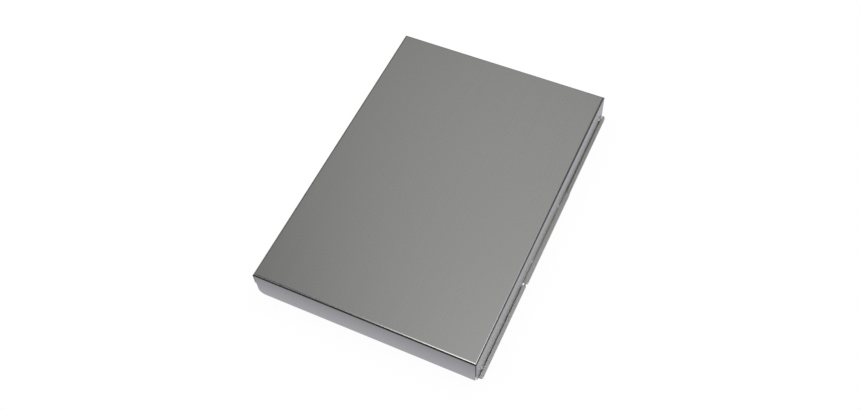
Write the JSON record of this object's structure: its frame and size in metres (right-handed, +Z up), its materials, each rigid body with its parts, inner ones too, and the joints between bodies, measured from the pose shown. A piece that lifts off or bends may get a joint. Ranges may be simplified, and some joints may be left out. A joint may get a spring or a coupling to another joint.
{
  "type": "box clipboard",
  "caption": "Flat folded-metal box clipboard: a deep lid hinged along one long side covers a shallow tray with a sprung paper clip and a thumb latch.",
  "frame": {"origin": "on the resting plane, under the middle of the cover's plan, at the centre of the tray's underside", "axes": "+Z up, +Y along the long side away from the clip, +X towards the hinge"},
  "size_m": [0.2333, 0.33, 0.034],
  "materials": {
    "aluminium_sheet": "brushed along the long side, satin",
    "hinge_leaf": "brushed, satin, rolled knuckle",
    "plated_steel": "bright nickel plating",
    "spring_steel": "plain spring steel",
    "rivet_metal": "plain set rivet"
  },
  "bodies": {
    "base": {"base_tray": "aluminium_sheet", "hinge_pin": "plated_steel", "clip_base": "plated_steel", "clip_pin": "plated_steel", "clip_rivet_left": "rivet_metal", "clip_rivet_right": "rivet_metal", "clip_spring_left": "spring_steel", "clip_spring_right": "spring_steel", "latch_leaf": "spring_steel", "latch_rivet_front": "rivet_metal", "latch_rivet_back": "rivet_metal", "tray_rivet_front": "rivet_metal", "tray_rivet_back": "rivet_metal", "tray_hinge_leaf_front": "hinge_leaf", "tray_hinge_leaf_back": "hinge_leaf"},
    "cover": {"cover_shell": "aluminium_sheet", "cover_hinge_leaf": "hinge_leaf", "corner_rivet_front": "rivet_metal", "corner_rivet_back": "rivet_metal", "leaf_rivet_front": "rivet_metal", "leaf_rivet_back": "rivet_metal"},
    "jaw": {"clip_jaw": "plated_steel"},
    "latch": {"latch_button": "plated_steel", "latch_button_rivet": "rivet_metal"}
  },
  "joints": [
    {"name": "cover_hinge", "type": "hinge", "parent": "base", "child": "cover", "pos_m": [0.1167, 0, 0.0023], "axis": [0, 1, 0], "range_deg": [0, 98]},
    {"name": "jaw_hinge", "type": "hinge", "parent": "base", "child": "jaw", "pos_m": [0, -0.128, 0.0095], "axis": [1, 0, 0], "range_deg": [0, 28], "stiffness_Nm_per_rad": 0.6, "springref_deg": -28.65, "deforming": ["clip_spring_left", "clip_spring_right"]},
    {"name": "latch_flex", "type": "hinge", "parent": "base", "child": "latch", "pos_m": [-0.1106, 0, 0.008], "axis": [0, 1, 0], "range_deg": [0, 8], "stiffness_Nm_per_rad": 0.2, "springref_deg": -2.86, "deforming": ["latch_leaf"]}
  ]
}
